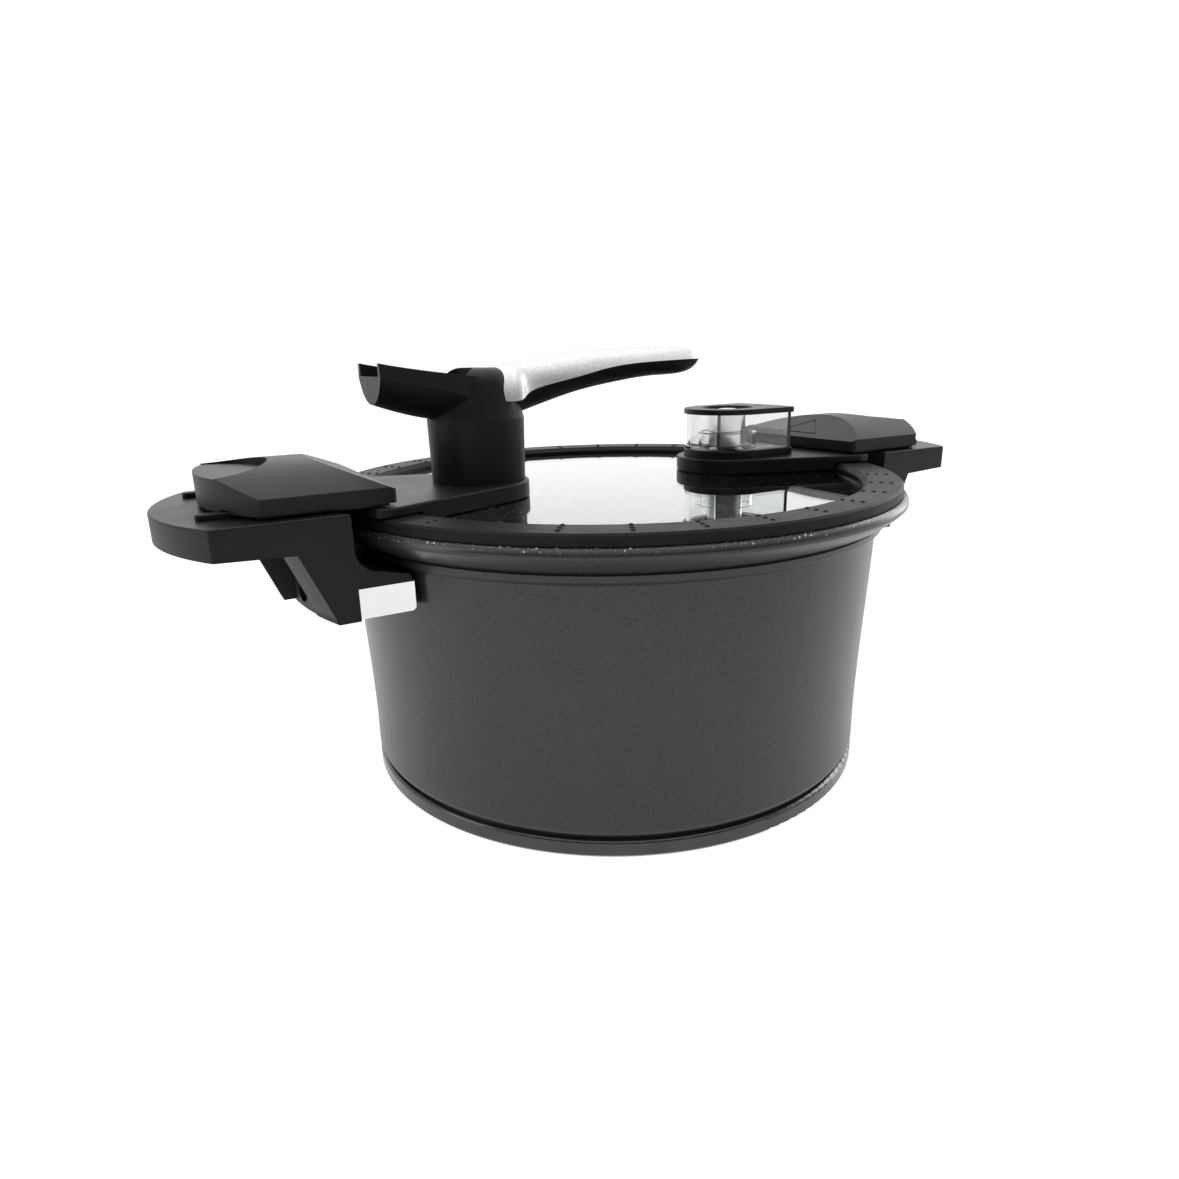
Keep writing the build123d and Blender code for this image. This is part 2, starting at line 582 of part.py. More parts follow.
# ---- lid: bridges and the parts that clamp them to the glass -------------------------------
def bridge_outline(inset=0.0):
    """Plan of the +X bridge: round inner end, flared to a tongue with a bowed outer end."""
    half = TONGUE_HALF - inset
    end_r = BRIDGE_END_R - inset
    reach = hypot(TONGUE_X - BRIDGE_END_X, half)
    turn = atan2(half, TONGUE_X - BRIDGE_END_X) + acos(end_r / reach)
    touch = (BRIDGE_END_X + end_r * cos(turn), end_r * sin(turn))
    outer_x = sqrt((TONGUE_R - inset) ** 2 - half**2)
    ThreePointArc((touch[0], -touch[1]), (BRIDGE_END_X - end_r, 0), touch)
    Polyline(touch, (TONGUE_X, half), (outer_x, half))
    ThreePointArc((outer_x, half), (TONGUE_R - inset, 0), (outer_x, -half))
    Polyline((outer_x, -half), (TONGUE_X, -half), (touch[0], -touch[1]))


def bridge_plate(z, height, inset, reach_r):
    """Plate with the bridge's plan, cut back to a circle round the pot's axis."""
    with BuildPart() as plate:
        with BuildSketch(Plane.XY.offset(z)):
            with BuildLine():
                bridge_outline(inset)
            make_face()
            Circle(reach_r, mode=Mode.INTERSECT)
        extrude(amount=height)
    return plate.part


def bridge_block(height, reach_r):
    """Part of the bridge that stands on the pad, between the glass and the tongue."""
    return bridge_plate(GLASS_Z + GLASS_T + PAD_T, height, 0.0, reach_r)


bridge_low = bridge_block(BRIDGE_Z - TONGUE_T - GLASS_Z - GLASS_T - PAD_T + 0.5, GASKET_IN_R - 0.7)
pad_plan = bridge_plate(GLASS_Z + GLASS_T, PAD_T, 1.2, GASKET_IN_R - 1.9)


def make_bridge(hole_x, hole_r, label):
    """Bridge with its through hole and a blind hole for the outer screw."""
    with BuildPart() as bridge:
        with BuildSketch(Plane.XY.offset(BRIDGE_Z - TONGUE_T)):
            with BuildLine():
                bridge_outline()
            make_face()
        extrude(amount=TONGUE_T)
        fillet(bridge.edges().filter_by(Axis.Z).group_by(Axis.X)[-1], radius=2.0)
        fillet(bridge.faces().sort_by(Axis.Z)[-1].edges(), radius=0.8)
        add(bridge_low)
        with BuildSketch(Plane.XY.offset(GLASS_Z)):
            with Locations((hole_x, 0)):
                Circle(hole_r)
        extrude(amount=20.0, mode=Mode.SUBTRACT)
        with BuildSketch(Plane.XY.offset(GLASS_Z)):
            with Locations((BRIDGE_SCREW_X, 0)):
                Circle(BRIDGE_SCREW_R + 0.05)
        extrude(amount=BRIDGE_Z - 2.0 - GLASS_Z, mode=Mode.SUBTRACT)
    if label.startswith("left"):
        finish(mirror(bridge.part, about=Plane.YZ), label)
    else:
        finish(bridge.part, label)


def make_pad(hole_x, hole_r, label):
    """Soft pad between a bridge and the glass."""
    with BuildPart() as pad:
        add(pad_plan)
        with BuildSketch(Plane.XY.offset(GLASS_Z)):
            with Locations((hole_x, 0)):
                Circle(hole_r + 0.1)
            with Locations((BRIDGE_SCREW_X, 0)):
                Circle(BRIDGE_SCREW_R + 0.1)
        extrude(amount=20.0, mode=Mode.SUBTRACT)
    if label.startswith("left"):
        finish(mirror(pad.part, about=Plane.YZ), label)
    else:
        finish(pad.part, label)


def make_clamp(top_z, height, width, hole_x, hole_r, label):
    """Strip under the glass, from the inner fixing out to the screw."""
    with BuildPart() as clamp:
        with BuildSketch(Plane.XY.offset(top_z)):
            with Locations(((hole_x + BRIDGE_SCREW_X) / 2, 0)):
                SlotCenterToCenter(BRIDGE_SCREW_X - hole_x, width)
            with Locations((hole_x, 0)):
                Circle(hole_r + 0.1, mode=Mode.SUBTRACT)
            with Locations((BRIDGE_SCREW_X, 0)):
                Circle(BRIDGE_SCREW_R + 0.1, mode=Mode.SUBTRACT)
        extrude(amount=-height)
    if label.startswith("left"):
        finish(mirror(clamp.part, about=Plane.YZ), label)
    else:
        finish(clamp.part, label)


make_bridge(VALVE_X, NOZZLE_R + 0.1, "right_bridge")
make_bridge(-POST_X, BOLT_R + 0.1, "left_bridge")
make_pad(VALVE_X, NOZZLE_R, "right_bridge_pad")
make_pad(-POST_X, BOLT_R, "left_bridge_pad")
make_clamp(GLASS_Z, CLAMP_PAD_T, 19.6, VALVE_X, NOZZLE_R, "right_clamp_pad")
make_clamp(GLASS_Z, CLAMP_PAD_T, 19.6, -POST_X, BOLT_R, "left_clamp_pad")
make_clamp(GLASS_Z - CLAMP_PAD_T, CLAMP_T, 18.8, VALVE_X, NOZZLE_R, "right_clamp_plate")
make_clamp(GLASS_Z - CLAMP_PAD_T, CLAMP_T, 18.8, -POST_X, BOLT_R, "left_clamp_plate")

with BuildPart() as bridge_screw:
    with BuildSketch(Plane.XY.offset(CLAMP_Z)):
        with Locations((BRIDGE_SCREW_X, 0)):
            Circle(3.8)
    extrude(amount=-2.2)
    fillet(bridge_screw.faces().sort_by(Axis.Z)[0].edges(), radius=0.9)
    with BuildSketch(Plane.XY.offset(CLAMP_Z)):
        with Locations((BRIDGE_SCREW_X, 0)):
            Circle(BRIDGE_SCREW_R)
    extrude(amount=BRIDGE_Z - 2.4 - CLAMP_Z)
    with BuildSketch(Plane.XY.offset(CLAMP_Z - 2.2)):
        with Locations((BRIDGE_SCREW_X, 0)):
            Rectangle(3.8, 0.8)
            Rectangle(0.8, 3.8)
    extrude(amount=1.1, mode=Mode.SUBTRACT)
finish_pair(bridge_screw.part, "bridge_screw")

# ---- lid handle ----------------------------------------------------------------------------
HUB_SPAN = 3.8            # straight part of the post's rounded section
HUB_W = 37.8
HEAD_TOP_Z = 178.2
HUB_TAPER = 15.0
TROUGH_HALF = 12.7

with BuildPart() as handle_post:
    with BuildSketch(Plane.XY.offset(BRIDGE_Z)):
        with Locations((POST_X, 0)):
            SlotCenterToCenter(HUB_SPAN, 36.6)
    with BuildSketch(Plane.XY.offset(POST_TOP_Z)):
        with Locations((POST_X, 0)):
            SlotCenterToCenter(HUB_SPAN, HUB_W)
    loft()
    with BuildSketch(Plane.XY.offset(BRIDGE_Z)):
        with Locations((POST_X, 0)):
            Circle(BOLT_R + 0.1)
    extrude(amount=40.0, mode=Mode.SUBTRACT)
finish(handle_post.part, "handle_post")

with BuildPart() as handle_bolt:
    with BuildSketch(Plane.XY.offset(CLAMP_Z)):
        with Locations((POST_X, 0)):
            Circle(6.5)
    extrude(amount=-3.6)
    fillet(handle_bolt.faces().sort_by(Axis.Z)[0].edges(), radius=1.4)
    with BuildSketch(Plane.XY.offset(CLAMP_Z)):
        with Locations((POST_X, 0)):
            Circle(BOLT_R)
    extrude(amount=POST_TOP_Z + 8.0 - CLAMP_Z)
    with BuildSketch(Plane.XY.offset(CLAMP_Z - 3.6)):
        with Locations((POST_X, 0)):
            Rectangle(7.0, 1.4)
            Rectangle(1.4, 7.0)
    extrude(amount=1.8, mode=Mode.SUBTRACT)
finish(handle_bolt.part, "handle_bolt")

with BuildPart() as head_insert:
    with BuildSketch(Plane.XY.offset(POST_TOP_Z)):
        with Locations((POST_X, 0)):
            Circle(6.4)
            Circle(BOLT_R + 0.05, mode=Mode.SUBTRACT)
    extrude(amount=9.0)
finish(head_insert.part, "head_insert")

# spoon rest: x, half width, top, shoulder, underside
REST_STATIONS = (
    (-111.0, 15.6, 181.0, 175.8, 165.0),
    (-99.0, 15.7, 178.8, 173.4, 161.0),
    (-84.0, 15.6, 176.6, 169.5, 157.7),
    (-68.0, 14.2, 174.4, 165.5, 157.5),
)
# lever: x, half width, top, seam, underside
LEVER_STATIONS = (
    (-64.0, 13.4, 177.9, 165.0, 157.0),
    (-47.0, 13.2, 181.2, 167.7, 159.0),
    (-30.0, 13.0, 183.5, 172.0, 163.8),
    (-10.0, 12.8, 185.2, 176.1, 168.2),
    (10.0, 12.6, 186.0, 178.4, 171.0),
    (28.0, 12.4, 186.3, 179.1, 172.3),
    (40.0, 11.6, 185.8, 179.4, 173.0),
    (44.6, 9.6, 184.6, 179.5, 174.4),
    (46.6, 6.6, 183.0, 179.6, 176.2),
)
COVER_T = 2.0


def rest_section(x, half, top, shoulder, low):
    """Section across the spoon rest: flat top, upright shoulders, round underside."""
    with BuildSketch(Plane.YZ.offset(x)) as section:
        with BuildLine():
            Polyline((-half, shoulder), (-half + 0.6, top), (half - 0.6, top), (half, shoulder))
            ThreePointArc((half, shoulder), (0, low), (-half, shoulder))
        make_face()
    return section.sketch


def cover_section(x, half, top, seam, low):
    """Section across the part of the lever above the seam."""
    with BuildSketch(Plane.YZ.offset(x)) as section:
        with BuildLine():
            ThreePointArc((-half, seam), (0, top), (half, seam))
            Line((half, seam), (-half, seam))
        make_face()
    return section.sketch


def core_section(x, half, top, seam, low):
    """Section across the core: the lever's underside, and a smaller ridge under the cover."""
    ridge = half - COVER_T
    with BuildSketch(Plane.YZ.offset(x)) as section:
        with BuildLine():
            ThreePointArc((half, seam), (0, low), (-half, seam))
            Line((-half, seam), (-ridge, seam))
            ThreePointArc((-ridge, seam), (0, top - COVER_T), (ridge, seam))
            Line((ridge, seam), (half, seam))
        make_face()
    return section.sketch


def loft_stations(section, stations):
    """Solid through one section after another."""
    with BuildPart() as body:
        for station in stations:
            add(section(*station))
        loft()
    return body.part


spoon_rest = loft_stations(rest_section, REST_STATIONS)
lever_core = loft_stations(core_section, LEVER_STATIONS)
lever_shell = loft_stations(cover_section, LEVER_STATIONS)

# upright hub between the spoon rest and the lever
with BuildPart() as hub:
    with BuildSketch(Plane.XY.offset(POST_TOP_Z)):
        with Locations((POST_X, 0)):
            SlotCenterToCenter(HUB_SPAN, HUB_W)
    extrude(amount=HEAD_TOP_Z - POST_TOP_Z, taper=HUB_TAPER)
    fillet(hub.faces().sort_by(Axis.Z)[-1].edges(), radius=8.0)

# space above the spoon rest's floor, ending round in the hub
with BuildPart() as trough:
    with BuildSketch(Plane.XZ):
        with BuildLine():
            Polyline((-125.0, 178.4), (-60.0, 167.5), (-60.0, 200.0), (-125.0, 200.0), close=True)
        make_face()
    extrude(amount=30.0, both=True)
    with BuildSketch(Plane.XY.offset(150.0)):
        with Locations((-80.0, 0)):
            Circle(TROUGH_HALF)
        with Locations((-100.0, 0)):
            Rectangle(40.0, 2 * TROUGH_HALF)
    extrude(amount=60.0, mode=Mode.INTERSECT)

with BuildPart() as handle_head:
    add(hub.part)
    add(spoon_rest)
    add(lever_core)
    add(trough.part, mode=Mode.SUBTRACT)
    # flat seat on the post, with a hole for the insert
    with BuildSketch(Plane.XY.offset(POST_TOP_Z)):
        with Locations((POST_X, 0)):
            Rectangle(46.0, 60.0)
    extrude(amount=-10.0, mode=Mode.SUBTRACT)
    with BuildSketch(Plane.XY.offset(POST_TOP_Z)):
        with Locations((POST_X, 0)):
            Circle(6.45)
    extrude(amount=9.1, mode=Mode.SUBTRACT)
finish(handle_head.part, "handle_head")

with BuildPart() as lever_cover:
    add(lever_shell)
    add(lever_core, mode=Mode.SUBTRACT)
    add(hub.part, mode=Mode.SUBTRACT)
finish(lever_cover.part, "lever_cover")


# ---- pressure valve ------------------------------------------------------------------------
def valve_outline(inset):
    """Plan of the valve's housing: round inner end, straight sides, bowed outer end."""
    half = VALVE_R - inset
    corner_x = sqrt((VALVE_END_R - inset) ** 2 - half**2)
    ThreePointArc((VALVE_X, -half), (VALVE_X - half, 0), (VALVE_X, half))
    Line((VALVE_X, half), (corner_x, half))
    ThreePointArc((corner_x, half), (VALVE_END_R - inset, 0), (corner_x, -half))
    Line((corner_x, -half), (VALVE_X, -half))


with BuildPart() as valve_base_ring:
    with BuildSketch(Plane.XY.offset(BRIDGE_Z)):
        with BuildLine():
            valve_outline(0.0)
        make_face()
        with Locations((VALVE_X, 0)):
            Circle(12.8, mode=Mode.SUBTRACT)
    extrude(amount=VALVE_RING_Z - BRIDGE_Z)
    fillet(valve_base_ring.edges().filter_by(Axis.Z).group_by(Axis.X)[-1], radius=2.0)
    fillet(valve_base_ring.faces().sort_by(Axis.Z)[-1].edges(), radius=0.5)
finish(valve_base_ring.part, "valve_base_ring")

with BuildPart() as valve_guard:
    with BuildSketch(Plane.XY.offset(VALVE_RING_Z)):
        with BuildLine():
            valve_outline(0.5)
        make_face()
    extrude(amount=1.4)
    with BuildSketch(Plane.XY.offset(VALVE_RING_Z)):
        with BuildLine():
            valve_outline(GUARD_WALL_IN)
        make_face()
    extrude(amount=VALVE_PLATE_Z - VALVE_RING_Z)
    fillet(valve_guard.edges().filter_by(Axis.Z).group_by(Axis.X)[-1], radius=1.6)
    with BuildSketch(Plane.XY.offset(VALVE_RING_Z)):
        with BuildLine():
            valve_outline(GUARD_WALL_IN + 1.6)
        make_face()
    extrude(amount=VALVE_PLATE_Z - VALVE_RING_Z, mode=Mode.SUBTRACT)
finish(valve_guard.part, "valve_guard")

with BuildPart() as valve_inner_ring:
    with BuildSketch(Plane.XY.offset(VALVE_RING_Z)):
        with Locations((VALVE_X, 0)):
            Circle(14.5)
            Circle(13.2, mode=Mode.SUBTRACT)
    extrude(amount=8.1)
    fillet(valve_inner_ring.faces().sort_by(Axis.Z)[-1].edges(), radius=0.5)
finish(valve_inner_ring.part, "valve_inner_ring")

with BuildPart() as valve_top_plate:
    with BuildSketch(Plane.XY.offset(VALVE_PLATE_Z)):
        with BuildLine():
            valve_outline(-0.2)
        make_face()
    extrude(amount=VALVE_PLATE_T)
    fillet(valve_top_plate.edges().filter_by(Axis.Z).group_by(Axis.X)[-1], radius=2.0)
    fillet(valve_top_plate.faces().sort_by(Axis.Z)[-1].edges(), radius=0.6)
    with BuildSketch(Plane.XY.offset(VALVE_PLATE_Z)):
        with Locations((VALVE_X, 0)):
            Circle(VALVE_HOLE_R - 1.2)
    extrude(amount=VALVE_PLATE_T, mode=Mode.SUBTRACT)
    with BuildSketch(Plane.XY.offset(VALVE_PLATE_Z + VALVE_PLATE_T)):
        with Locations((VALVE_X, 0)):
            Circle(VALVE_HOLE_R)
    extrude(amount=-1.4, taper=25.0, mode=Mode.SUBTRACT)
    with BuildSketch(Plane.XY.offset(VALVE_PLATE_Z + VALVE_PLATE_T)):
        with Locations((VALVE_X + 20.5, 0)):
            Circle(2.0)
    extrude(amount=-0.6, mode=Mode.SUBTRACT)
finish(valve_top_plate.part, "valve_top_plate")

with BuildPart() as valve_nozzle:
    with BuildSketch(Plane.XZ.offset(0)):
        with BuildLine():
            Polyline(
                (1.5, CLAMP_Z - 1.8),
                (9.0, CLAMP_Z - 1.8),
                (9.0, CLAMP_Z),
                (NOZZLE_R, CLAMP_Z),
                (NOZZLE_R, NOZZLE_TIP_Z - 3.4),
                (NOZZLE_R - 1.0, NOZZLE_TIP_Z - 2.4),
                (3.4, NOZZLE_TIP_Z - 2.4),
                (3.4, NOZZLE_TIP_Z - 0.6),
                (2.8, NOZZLE_TIP_Z),
                (1.5, NOZZLE_TIP_Z),
                close=True,
            )
        make_face()
    revolve(axis=Axis.Z)
finish(Pos(VALVE_X, 0, 0) * valve_nozzle.part, "valve_nozzle")

with BuildPart() as nozzle_nut:
    with BuildSketch(Plane.XY.offset(BRIDGE_Z)):
        with Locations((VALVE_X, 0)):
            RegularPolygon(9.6, 6)
            Circle(NOZZLE_R + 0.05, mode=Mode.SUBTRACT)
    extrude(amount=3.0)
finish(nozzle_nut.part, "nozzle_nut")

# perforated cup round the nozzle's inlet, under the lid
with BuildPart() as filter_cap:
    with BuildSketch(Plane.XY.offset(CAP_Z)):
        with Locations((VALVE_X, 0)):
            Circle(11.0)
    extrude(amount=CLAMP_Z - 0.1 - CAP_Z)
    fillet(filter_cap.faces().sort_by(Axis.Z)[0].edges(), radius=2.0)
    with BuildSketch(Plane.XY.offset(CAP_Z + 1.2)):
        with Locations((VALVE_X, 0)):
            Circle(9.2)
    extrude(amount=20.0, mode=Mode.SUBTRACT)
    with BuildSketch(Plane.XY.offset(CAP_Z)):
        with Locations((VALVE_X, 0)):
            Circle(1.0)
            with PolarLocations(4.8, 6):
                Circle(1.0)
    extrude(amount=1.2, mode=Mode.SUBTRACT)
    with Locations(Pos(VALVE_X, 0, CAP_Z + 5.6)):
        with PolarLocations(10.0, 12):
            Cylinder(1.0, 4.0, rotation=(0, 90, 0), mode=Mode.SUBTRACT)
finish(filter_cap.part, "filter_cap")

with BuildPart() as valve_weight:
    with BuildSketch(Plane.XZ):
        with BuildLine():
            Polyline(
                (0, NOZZLE_TIP_Z + 0.06),
                (4.6, NOZZLE_TIP_Z + 0.06),
                (4.6, NOZZLE_TIP_Z - 1.6),
                (WEIGHT_R - 0.5, NOZZLE_TIP_Z - 1.6),
                (WEIGHT_R, NOZZLE_TIP_Z - 1.1),
                (WEIGHT_R, VALVE_PLATE_Z - 0.6),
                (WEIGHT_R - 0.8, VALVE_PLATE_Z + 0.2),
                (0, VALVE_PLATE_Z + 0.2),
                close=True,
            )
        make_face()
    revolve(axis=Axis.Z)
finish(Pos(VALVE_X, 0, 0) * valve_weight.part, "valve_weight")

with BuildPart() as weight_button:
    with BuildSketch(Plane.XY.offset(VALVE_PLATE_Z + 0.2)):
        with Locations((VALVE_X, 0)):
            Circle(4.6)
    extrude(amount=1.7)
    fillet(weight_button.faces().sort_by(Axis.Z)[-1].edges(), radius=0.8)
finish(weight_button.part, "weight_button")
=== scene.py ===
"""Looks for a low-pressure stovetop cooker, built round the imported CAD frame. Metres."""
import json
import math

import bpy
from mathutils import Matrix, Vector

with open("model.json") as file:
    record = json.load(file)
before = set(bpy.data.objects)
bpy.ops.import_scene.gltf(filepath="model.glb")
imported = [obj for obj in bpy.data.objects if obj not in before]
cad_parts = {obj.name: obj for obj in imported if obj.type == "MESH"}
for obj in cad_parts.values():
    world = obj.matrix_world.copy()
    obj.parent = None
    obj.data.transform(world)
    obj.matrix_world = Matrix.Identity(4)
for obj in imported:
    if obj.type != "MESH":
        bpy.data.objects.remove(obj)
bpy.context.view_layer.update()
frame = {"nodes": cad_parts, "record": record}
nodes = frame["nodes"]
scene = bpy.context.scene

# ---- camera ----------------------------------------------------------------------------
camera_data = bpy.data.cameras.new("camera")
camera_data.sensor_width = 36.0
camera_data.lens = 24.25
camera_data.shift_x = 0.0029
camera_data.clip_start = 0.01
camera_data.clip_end = 50.0
camera = bpy.data.objects.new("camera", camera_data)
camera.location = (-0.19882, -0.32453, 0.18560)
camera.rotation_euler = [math.radians(a) for a in (73.458, 1.2736, -29.969)]
scene.collection.objects.link(camera)
scene.camera = camera
scene.view_settings.view_transform = "Standard"
scene.view_settings.look = "None"


# ---- node helpers ----------------------------------------------------------------------
def add_node(tree, kind, **settings):
    """A new node in the tree, with its settings."""
    made = tree.nodes.new(kind)
    for key, value in settings.items():
        setattr(made, key, value)
    return made


def feed(tree, socket, value):
    """Links value to the socket, or sets it where value is a plain number or tuple."""
    if isinstance(value, bpy.types.NodeSocket):
        tree.links.new(value, socket)
    else:
        socket.default_value = value


class Surface:
    """One material and short calls that add nodes to it. Coordinates are the piece's own, in metres."""

    def __init__(self, name):
        self.material = bpy.data.materials.new(name)
        self.material.use_nodes = True
        self.tree = self.material.node_tree
        self.shader = self.tree.nodes["Principled BSDF"]
        self.place = self.node("ShaderNodeTexCoord").outputs["Object"]

    def node(self, kind, **settings):
        return add_node(self.tree, kind, **settings)

    def feed(self, socket, value):
        feed(self.tree, socket, value)

    def set(self, **values):
        """Sets the shader's sockets: base_color=..., roughness=... and so on."""
        for key, value in values.items():
            name = key.replace("_", " ").title().replace("Ior", "IOR")
            if name.endswith("Color") and isinstance(value, tuple):
                value = (*value, 1.0)
            self.feed(self.shader.inputs[name], value)

    def stretched(self, x, y, z):
        """The piece's coordinates, scaled along each axis."""
        made = self.node("ShaderNodeMapping")
        self.feed(made.inputs["Vector"], self.place)
        made.inputs["Scale"].default_value = (x, y, z)
        return made.outputs["Vector"]

    def noise(self, scale, detail=2.0, where=None):
        made = self.node("ShaderNodeTexNoise")
        self.feed(made.inputs["Vector"], where or self.place)
        made.inputs["Scale"].default_value = scale
        made.inputs["Detail"].default_value = detail
        return made.outputs["Fac"]

    def cells(self, scale, output="Color"):
        """Random cells: a random colour for each one, or the distance from its point."""
        made = self.node("ShaderNodeTexVoronoi")
        self.feed(made.inputs["Vector"], self.place)
        made.inputs["Scale"].default_value = scale
        return made.outputs[output]

    def math(self, operation, *values):
        made = self.node("ShaderNodeMath", operation=operation)
        for socket, value in zip(made.inputs, values):
            self.feed(socket, value)
        return made.outputs[0]

    def part(self, vector, axis):
        """One coordinate of a vector, or one channel of a colour, as a number."""
        made = self.node("ShaderNodeSeparateXYZ")
        self.feed(made.inputs[0], vector)
        return made.outputs[axis]

    def spread(self, value, low, high, to_low=0.0, to_high=1.0):
        """Value from low to high, mapped to to_low to to_high and clamped."""
        made = self.node("ShaderNodeMapRange")
        for socket, v in zip(made.inputs, (value, low, high, to_low, to_high)):
            self.feed(socket, v)
        return made.outputs[0]

    def mix(self, share, a, b):
        """Colour a where share is 0, b where it is 1."""
        made = self.node("ShaderNodeMix", data_type="RGBA")
        self.feed(made.inputs["Factor"], share)
        for socket, value in zip((made.inputs[6], made.inputs[7]), (a, b)):
            self.feed(socket, (*value, 1.0) if isinstance(value, tuple) else value)
        return made.outputs[2]

    def bump(self, height, strength, distance, normal=None):
        made = self.node("ShaderNodeBump")
        self.feed(made.inputs["Height"], height)
        made.inputs["Strength"].default_value = strength
        made.inputs["Distance"].default_value = distance
        if normal is not None:
            self.feed(made.inputs["Normal"], normal)
        return made.outputs[0]

    def radius(self):
        """Distance from the pot's axis."""
        flat = self.stretched(1, 1, 0)
        made = self.node("ShaderNodeVectorMath", operation="LENGTH")
        self.feed(made.inputs[0], flat)
        return made.outputs["Value"]


def flakes(s, scale, share):
    """Mask of bright metal flakes: cells picked at random, about this share of them."""
    return s.spread(s.part(s.cells(scale), 0), 1 - share - 0.02, 1 - share + 0.02)


# the middle of the pot's wall: its radius near the foot and just under the bead, and those heights
FOOT_R, FOOT_Z = 0.1164, 0.0128
BEAD_R, BEAD_Z = 0.1200, 0.1096
INNER_FLOOR_Z = 0.0114   # just under the surface of the inner floor
LIP_Z = 0.1240           # on the rim, where the outside paint ends
LIP_WAVER = 0.0004       # how far that edge wanders, and how soft it is


def pot_paint():
    """Charcoal metallic paint outside; dark granite-speckled coating inside and over the lip."""
    s = Surface("pot_paint")
    z = s.part(s.place, 2)
    r = s.radius()
    # the coating covers what lies inside this line, which follows the middle of the wall
    middle = s.spread(z, FOOT_Z, BEAD_Z, FOOT_R, BEAD_R)
    above_floor = s.math("GREATER_THAN", z, INNER_FLOOR_Z)
    inside = s.math("MULTIPLY", s.math("LESS_THAN", r, middle), above_floor)
    wandering = s.math("ADD", z, s.spread(s.noise(900), 0.3, 0.7, -LIP_WAVER, LIP_WAVER))
    lip = s.spread(wandering, LIP_Z, LIP_Z + LIP_WAVER)
    coated = s.math("MAXIMUM", inside, lip)
    flake_scale = 4200
    flake = flakes(s, flake_scale, 0.22)
    cloud = s.spread(s.noise(22, 3), 0.3, 0.7, -1, 1)
    shade = s.mix(s.spread(cloud, -1, 1), (0.026, 0.0255, 0.028), (0.031, 0.0305, 0.033))
    paint = s.mix(flake, shade, (0.074, 0.073, 0.078))
    small_specks = s.spread(s.cells(1100, "Distance"), 0.17, 0.12)
    # half of the large cells hold a large speck
    large_scale = 520
    chosen = s.spread(s.part(s.cells(large_scale), 1), 0.45, 0.5)
    large_specks = s.math("MULTIPLY", s.spread(s.cells(large_scale, "Distance"), 0.22, 0.17), chosen)
    specks = s.math("MAXIMUM", small_specks, large_specks)
    granite = s.mix(specks, (0.022, 0.022, 0.023), (0.78, 0.77, 0.75))
    tilt = s.bump(s.part(s.cells(flake_scale), 2), 0.06, 0.0001)
    s.set(base_color=s.mix(coated, paint, granite),
          metallic=s.math("MULTIPLY", s.math("SUBTRACT", 1.0, coated), s.spread(flake, 0, 1, 0.2, 0.6)),
          roughness=s.math("ADD", s.spread(coated, 0, 1, 0.34, 0.42), s.spread(cloud, -1, 1, -0.02, 0.03)),
          coat_weight=0.3, coat_roughness=0.2,
          normal=s.bump(s.noise(600, 2), 0.04, 0.0002, tilt))
    return s.material


def base_metal():
    """Polished dark side; turned steel rings underneath with light wear."""
    s = Surface("base_paint")
    z = s.part(s.place, 2)
    r = s.radius()
    # 1 on the underside, 0 above its rounded edge
    under = s.spread(z, 0.0012, 0.0008)
    turning = 9000.0   # radians of the sine for each metre of radius, rings 0.7 mm apart
    rings = s.math("SINE", s.math("MULTIPLY", r, turning))
    wave = s.math("MULTIPLY", rings, under)
    worn = s.noise(60, 4)
    lines = s.noise(500, 3, s.stretched(1, 1, 12))
    steel = s.mix(s.spread(worn, 0.35, 0.7), (0.55, 0.54, 0.53), (0.47, 0.46, 0.45))
    side = s.mix(s.spread(worn, 0.35, 0.7), (0.060, 0.061, 0.063), (0.075, 0.076, 0.078))
    s.set(base_color=s.mix(under, side, steel),
          metallic=s.spread(under, 0, 1, 0.7, 1.0),
          roughness=s.math("ADD", s.spread(worn, 0.3, 0.7, 0.20, 0.28),
                           s.spread(lines, 0.3, 0.7, -0.03, 0.03)),
          coat_weight=0.5, coat_roughness=0.08,
          normal=s.bump(wave, 0.25, 0.0002, s.bump(lines, 0.05, 0.0001)))
    return s.material


def black_plastic():
    """Moulded satin plastic with a fine spark-eroded texture."""
    s = Surface("black_plastic")
    cloud = s.noise(35, 4)
    fine = s.noise(2600, 3)
    dark = (0.0075, 0.0085, 0.0108)
    light = tuple(c * 1.35 for c in dark)
    s.set(base_color=s.mix(s.spread(cloud, 0.3, 0.7), dark, light),
          roughness=s.math("ADD", s.spread(cloud, 0.3, 0.7, 0.39, 0.46),
                           s.spread(fine, 0.3, 0.7, -0.04, 0.04)),
          specular_ior_level=0.26,
          normal=s.bump(fine, 0.16, 0.00012, s.bump(cloud, 0.03, 0.001)))
    return s.material


def silver_paint():
    """Silver lacquer with visible flakes."""
    s = Surface("cover_silver")
    flake_scale = 2900
    flake = s.part(s.cells(flake_scale), 0)
    s.set(base_color=s.mix(flake, (0.66, 0.66, 0.68), (0.95, 0.95, 0.97)),
          metallic=0.6,
          roughness=s.spread(flake, 0, 1, 0.46, 0.32),
          coat_weight=0.3, coat_roughness=0.12,
          normal=s.bump(s.part(s.cells(flake_scale), 1), 0.16, 0.00015))
    return s.material


